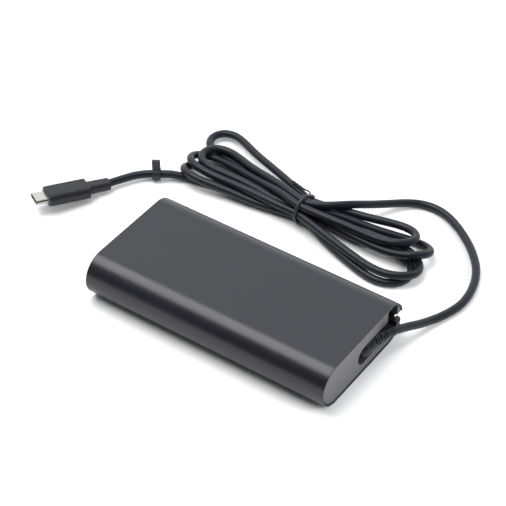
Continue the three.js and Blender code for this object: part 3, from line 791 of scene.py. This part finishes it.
def make_cord():
    """The whole cord, whose ends run on a little inside the strain relief and the plug."""
    inside_relief, inside_plug = 1.5 * MM, 3 * MM
    route = LEAD_ROUTE + JOIN_ROUTE
    for each in FOLDS:
        route = route + fold(*each)
    last_strand = FOLDS[-1][1]
    route = route + [strand_at_tie(last_strand)] + UNDER_ROUTE + TAIL_ROUTE
    path = settle(even_curve(route, STEP))
    start = RELIEF_AXIS[-1] - inside_relief * unit(path[1] - path[0])
    end = path[-1] + inside_plug * np.array(PLUG_AXIS)
    path = np.vstack([start, path, end])
    cord = tube_curve("cord", [(path, False)], CORD)
    return place_piece(cord, "cord_rubber", ("cord_lead", "cord_hank", "cord_tail"))


# ---- Strain relief, tie and strap ----
RELIEF_STEP = 0.25 * MM
RELIEF_NOSE = 4.5 * MM  # length of the rounded root
RELIEF_STRAIGHT = 6.5 * MM  # where the taper starts
RELIEF_RADIUS = 4 * MM
RELIEF_TIP = 2.35 * MM  # radius where the cord leaves it
RELIEF_ROOT = 0.02  # of the full radius, at the very root
SLOT_START = 10.2 * MM
SLOT_PITCH = 1.75 * MM
SLOT_COUNT = 5
SLOT_TURN = math.radians(58)  # from the top, towards the open side of the channel
SLOT_LENGTH = 2.9 * MM
SLOT_WIDTH = 0.68 * MM
SLOT_DEPTH = 1.1 * MM
SLOT_STAGGER = 0.5 * MM
DOT_RUN = 6 * MM
DOT_RADIUS = 0.5 * MM


def relief_radius(run, length):
    """The strain relief's radius at a run from its root."""
    if run < RELIEF_NOSE:
        lag = (RELIEF_NOSE - run) / RELIEF_NOSE
        return RELIEF_RADIUS * math.sqrt(max(1 - lag**2, RELIEF_ROOT**2))
    fall = max(0.0, (run - RELIEF_STRAIGHT) / (length - RELIEF_STRAIGHT))
    ease = 0.5 + 0.5 * math.cos(math.pi * min(fall, 1))
    return RELIEF_TIP + (RELIEF_RADIUS - RELIEF_TIP) * ease


def frame_on(path, index):
    """Side, axis and up directions of a path at one of its points."""
    ahead, behind = min(index + 1, len(path) - 1), max(index - 1, 0)
    axis = Vector(path[ahead] - path[behind]).normalized()
    side = axis.cross(Vector((0, 0, 1))).normalized()
    return side, axis, side.cross(axis)


def swept(name, path, radii, sides=40):
    """A round body along a path, with a radius for each point, closed at its ends."""
    bm = bmesh.new()
    rings = []
    for index, radius in enumerate(radii):
        side, _, up = frame_on(path, index)
        ring = []
        for k in range(sides):
            angle = 2 * math.pi * k / sides
            out = side * math.cos(angle) + up * math.sin(angle)
            ring.append(bm.verts.new(Vector(path[index]) + radius * out))
        rings.append(ring)
    for one, two in zip(rings, rings[1:]):
        for k in range(sides):
            n = (k + 1) % sides
            bm.faces.new((one[k], one[n], two[n], two[k]))
    bm.faces.new(rings[0])
    bm.faces.new(rings[-1])
    return object_from(name, bm)


def make_strain_relief():
    """A tapered sleeve with staggered flex slots on two opposite sides and a moulding dot."""
    path = even_curve(RELIEF_AXIS, RELIEF_STEP)
    length = RELIEF_STEP * (len(path) - 1)
    radii = [relief_radius(i * RELIEF_STEP, length) for i in range(len(path))]
    relief = swept("strain_relief", path, radii)

    def across(run, turn):
        """Where a cutter sits: on the axis at a run, its Z pointing out through the surface."""
        index = round(run / RELIEF_STEP)
        side, axis, up = frame_on(path, index)
        lie = Matrix((side, axis, up)).transposed().to_4x4()
        return Matrix.Translation(path[index]) @ lie @ Matrix.Rotation(turn, 4, "Y")

    cutters = []
    for i in range(SLOT_COUNT):
        run = SLOT_START + i * SLOT_PITCH
        top = relief_radius(run, length)
        stagger = SLOT_STAGGER * (1 if i % 2 else -1)
        for turn in (SLOT_TURN, SLOT_TURN + math.pi):
            slot = box_at(
                (stagger - SLOT_LENGTH / 2, -SLOT_WIDTH / 2, top - SLOT_DEPTH),
                (stagger + SLOT_LENGTH / 2, SLOT_WIDTH / 2, top + MM),
            )
            slot.matrix_world = across(run, turn)
            cutters.append(slot)
    dot = bmesh.new()
    bmesh.ops.create_cone(
        dot, segments=20, radius1=DOT_RADIUS, radius2=DOT_RADIUS, depth=2 * DOT_RADIUS,
        cap_ends=True, matrix=Matrix.Translation((0, 0, RELIEF_RADIUS)),
    )
    cutters.append(object_from("dot", dot))
    cutters[-1].matrix_world = across(DOT_RUN, SLOT_TURN)
    bpy.context.view_layer.update()
    carve(relief, cutters)
    soften(relief, SHARP_ON_RUBBER)
    return place_piece(relief, "cord_rubber", ("dc_strain_relief",))


END_WIRE = 0.85 * MM  # the tie's ends are drawn thinner than its ring
END_STEP = 0.25 * MM
# The line that the tie's two ends twist about, away from the ring.
ENDS_ROUTE = [
    (-0.0156, 0.0789, 0.0101),
    (-0.018, 0.0803, 0.01),
    (-0.021, 0.0814, 0.0097),
    (-0.0245, 0.0825, 0.0095),
    (-0.0275, 0.0835, 0.0093),
    (-0.0298, 0.0842, 0.0092),
]


def around_bundle():
    """The tie's line round the bundle: arcs about the outer strands, joined by straights."""
    reach = (CORD + TIE_WIRE) / 2
    outer = ["low_near", "low_far", "middle_farthest", "top_far", "top_near", "middle_nearest"]
    arc_points = 7
    centres = [strand_at_tie(name) for name in outer]
    centres[outer.index("top_far")] += np.array([0, TIE_SLACK, TIE_SLACK])
    points = []
    for k, centre in enumerate(centres):
        before, after = centres[k - 1], centres[(k + 1) % len(centres)]
        first = math.atan2(centre[2] - before[2], centre[1] - before[1]) - math.pi / 2
        last = math.atan2(after[2] - centre[2], after[1] - centre[1]) - math.pi / 2
        last += 2 * math.pi * (last < first)
        for angle in np.linspace(first, last, arc_points):
            points.append(centre + reach * np.array([0, math.cos(angle), math.sin(angle)]))
    return points


def twisted_ends():
    """The tie's two ends: a narrow eye beside the ring, then a twist laid along the far strand."""
    line = even_curve(ENDS_ROUTE, END_STEP)
    eye, eye_half_width, pitch = 5.5 * MM, 0.6 * MM, 4.8 * MM
    runs = []
    for phase in (0, math.pi):
        wire = []
        for index, point in enumerate(line):
            run = index * END_STEP
            side, _, up = frame_on(line, index)
            angle = phase + 2 * math.pi * max(0, run - eye) / pitch
            radius = END_WIRE / 2 + eye_half_width * math.sin(math.pi * min(run / eye, 1))
            out = side * math.cos(angle) + up * math.sin(angle)
            wire.append(point + radius * np.array(out))
        runs.append((wire[::2], False))
    return runs


def make_tie():
    """A coated wire round the bundle, and its two ends, twisted together."""
    tie = tube_curve("wire_tie", [(around_bundle(), True)], TIE_WIRE, 5)
    ends = tube_curve("wire_tie_ends", twisted_ends(), END_WIRE, 5)
    place_piece(tie, "tie_plastic", ("cable_tie",))
    place_piece(ends, "tie_plastic")
    return tie, ends


STRAP_BORE = 2.3 * MM  # radius
STRAP_WALL = 1 * MM
STRAP_WIDTH = 4 * MM
STRAP_TAB = 5.2 * MM
STRAP_TAB_THICKNESS = 2 * MM
STRAP_SEAM = 0.24 * MM  # width of the slit between the tab's two layers
STRAP_JOINED = 0.9 * MM  # where the layers are one, at the tab's top
STRAP_EDGE = 0.22 * MM


def strap_outline(outer, top):
    """The band's outer edge in X and Z: most of a circle, closed by the tab that stands on it."""
    half, tab_corner, round_points = STRAP_TAB_THICKNESS / 2, 0.5 * MM, 40
    tab_foot = math.acos(half / outer)  # the angle off X where a side of the tab meets the circle
    outline = []
    for angle in np.linspace(math.pi - tab_foot, 2 * math.pi + tab_foot, round_points):
        outline.append((outer * math.cos(angle), outer * math.sin(angle)))
    corners = [outline[-1], (half, top), (-half, top), outline[0]]
    return outline + [tuple(p) for p in fillet(corners, tab_corner, closed=False)[1:-1]]


def make_strap():
    """A band folded round the cord, its two layers joined in a tab that stands up."""
    outer = STRAP_BORE + STRAP_WALL
    top = outer + STRAP_TAB
    outline = strap_outline(outer, top)
    bm = bmesh.new()
    ends = []
    for y in (-STRAP_WIDTH / 2, STRAP_WIDTH / 2):
        ends.append([bm.verts.new((x, y, z)) for x, z in outline])
    for k in range(len(outline)):
        n = (k + 1) % len(outline)
        bm.faces.new((ends[0][k], ends[0][n], ends[1][n], ends[1][k]))
    bm.faces.new(ends[0])
    bm.faces.new(ends[1])
    strap = object_from("strap_band", bm)
    bore = bmesh.new()
    along_cord = Matrix.Rotation(math.pi / 2, 4, "X")
    bmesh.ops.create_cone(
        bore, segments=48, radius1=STRAP_BORE, radius2=STRAP_BORE, depth=2 * STRAP_WIDTH,
        cap_ends=True, matrix=along_cord,
    )
    seam = box_at(
        (-STRAP_SEAM / 2, -STRAP_WIDTH, STRAP_BORE - MM),
        (STRAP_SEAM / 2, STRAP_WIDTH, top - STRAP_JOINED),
    )
    carve(strap, [object_from("bore", bore), seam])
    bevel = strap.modifiers.new("rounding", "BEVEL")
    bevel.width = STRAP_EDGE
    bevel.segments = 3
    bevel.limit_method = "ANGLE"
    bevel.angle_limit = math.radians(SHARP_ON_RUBBER)
    start, end = (Vector(p) for p in TAIL_ROUTE[1:3])
    run = end - start
    turn = Matrix.Rotation(math.atan2(run.y, run.x) - math.pi / 2, 4, "Z")
    strap.data.transform(Matrix.Translation((start + end) / 2) @ turn)
    soften(strap)
    return place_piece(strap, "strap_rubber", ("cord_strap",), body="strap")


# ---- Case ----
CASE_LOW, CASE_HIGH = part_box("housing_sleeve")
HALF_LENGTH = (CASE_HIGH.x - CASE_LOW.x) / 2
HALF_WIDTH = (CASE_HIGH.y - CASE_LOW.y) / 2
HALF_HEIGHT = (CASE_HIGH.z - CASE_LOW.z) / 2
RIM = 0.88 * MM  # the sleeve's wall round an end cap
WALL = 1.8 * MM
REBATE = 6 * MM  # depth of an end cap's seat
EDGE = 0.2 * MM  # rounding of the sleeve's rims
# The mouth that is cut into the sleeve's side for the cord, at the end that the cord leaves.
MOUTH = {"inner": 61.5 * MM, "from": 26 * MM, "low": 5.3 * MM, "high": 12.8 * MM}


def make_sleeve():
    """A tube of stadium section with a seat for a cap at each end and the cord's mouth."""
    end = HALF_LENGTH
    seat = end - REBATE
    corners = [
        (-end, 0), (end, 0), (end, RIM), (seat, RIM), (seat, WALL),
        (-seat, WALL), (-seat, RIM), (-end, RIM),
    ]
    outline = fillet(corners, EDGE)
    sleeve = loft(
        "case_sleeve", HALF_WIDTH, HALF_HEIGHT, HALF_HEIGHT, outline, closed=True, steps=32
    )
    sleeve.data.transform(Matrix.Translation((0, 0, HALF_HEIGHT)))
    mouth = box_at(
        (MOUTH["inner"], MOUTH["from"], MOUTH["low"]),
        (end + MM, HALF_WIDTH + MM, MOUTH["high"]),
    )
    carve(sleeve, [mouth])
    soften(sleeve)
    place_piece(sleeve, "case_plastic", ("housing_sleeve",))


def make_caps():
    """The end caps and what is set in them, with their edges rounded off."""
    cap_edge, insert_edge = 0.12 * MM, 0.25 * MM
    for node in ("dc_end_cap", "ac_end_cap"):
        place_piece(rounded_copy(node, cap_edge), "cap_plastic", (node,))
    # The cord clip's hook is black plastic; its plate also stands at the back of the notch in the
    # cap's upper strip, a black wall that stands in for the notch's shade.
    for node in ("ac_inlet", "cord_clip"):
        place_piece(rounded_copy(node, insert_edge), "black_plastic", (node,))


# ---- Plug ----
PLUG_YAW, PLUG_PITCH = math.radians(-119), math.radians(6.5)
PLUG_TURN = Matrix.Rotation(PLUG_YAW, 4, "Z") @ Matrix.Rotation(-PLUG_PITCH, 4, "Y")
PLUG_AXIS = PLUG_TURN @ Vector((1, 0, 0))
PLUG_REAR = Vector((-0.1122, 0.0264, 0.0048))
# Length, width and height of the overmold, the neck behind it and the shell before it.
PLUG_LENGTH, PLUG_WIDTH, PLUG_HEIGHT = 21.5 * MM, 11.6 * MM, 6.6 * MM
NECK_LENGTH, NECK_WIDTH, NECK_HEIGHT = 11.5 * MM, 6.8 * MM, 5.2 * MM
SHELL_LENGTH, SHELL_WIDTH, SHELL_HEIGHT = 6.5 * MM, 8.34 * MM, 2.56 * MM
PLUG_CORNER, NECK_CORNER = 2.6 * MM, 2 * MM  # rounding of their sections
PLUG_EDGE = 0.7 * MM  # rounding of their ends
SHEET = 0.3 * MM  # thickness of the shell's steel
SHELL_EDGE = 0.14 * MM


def place_plug_piece(piece, slot, node):
    """Moves a piece that is drawn along +X, from the plug's rear, to where the plug lies."""
    piece.data.transform(Matrix.Translation(PLUG_REAR) @ PLUG_TURN)
    soften(piece, SHARP_ON_RUBBER)
    return place_piece(piece, slot, (node,))


def make_overmold():
    """The grip, with a shallow groove round it close to its front."""
    groove = PLUG_LENGTH - 1.3 * MM
    half_groove, groove_depth = 0.3 * MM, 0.12 * MM
    rear_face, front_face = 3 * MM, 1.6 * MM  # how far in the flat ends reach
    corners = [
        (0, rear_face), (0, 0), (groove - half_groove, 0), (groove, groove_depth),
        (groove + half_groove, 0), (PLUG_LENGTH, 0), (PLUG_LENGTH, front_face),
    ]
    outline = fillet(corners, PLUG_EDGE, steps=6, closed=False)
    body = loft(
        "plug_body", PLUG_WIDTH / 2, PLUG_HEIGHT / 2, PLUG_CORNER, outline, closed=False, steps=12
    )
    return place_plug_piece(body, "plug_plastic", "plug_overmold")


def make_neck():
    """The stiff sleeve round the cord, a little slimmer at its rear, that runs into the grip."""
    rear_face, rear_inset, into_grip = 0.9 * MM, 0.2 * MM, 0.4 * MM
    corners = [
        (-NECK_LENGTH, rear_face), (-NECK_LENGTH, rear_inset), (into_grip, 0), (into_grip, MM),
    ]
    outline = fillet(corners, PLUG_EDGE, steps=5, closed=False)
    neck = loft("plug_sleeve", NECK_WIDTH / 2, NECK_HEIGHT / 2, NECK_CORNER, outline, closed=False)
    return place_plug_piece(neck, "plug_plastic", "plug_neck")


def make_shell():
    """The hollow steel shell, open at the tip, whose root lies in the grip."""
    tip = PLUG_LENGTH + SHELL_LENGTH
    root = PLUG_LENGTH - 2 * MM
    outline = fillet([(root, 0), (tip, 0), (tip, SHEET), (root, SHEET)], SHELL_EDGE)
    half = SHELL_HEIGHT / 2
    shell = loft("plug_shell", SHELL_WIDTH / 2, half, half, outline, closed=True, steps=16)
    return place_plug_piece(shell, "plug_steel", "usb_c_shell")


def dress_nodes():
    """Every CAD node takes the finish that the record names for it."""
    for part in frame["record"]["subparts"]:
        node = frame["nodes"][part["node"]]
        node.data.materials.clear()
        node.data.materials.append(FINISHES[part["material_slot"]])


FINISHES = make_finishes()
make_camera()
cord = make_cord()
make_studio()
make_floor()
relief = make_strain_relief()
tie, tie_ends = make_tie()
strap = make_strap()
make_sleeve()
make_caps()
overmold, neck, shell = make_overmold(), make_neck(), make_shell()
dress_nodes()
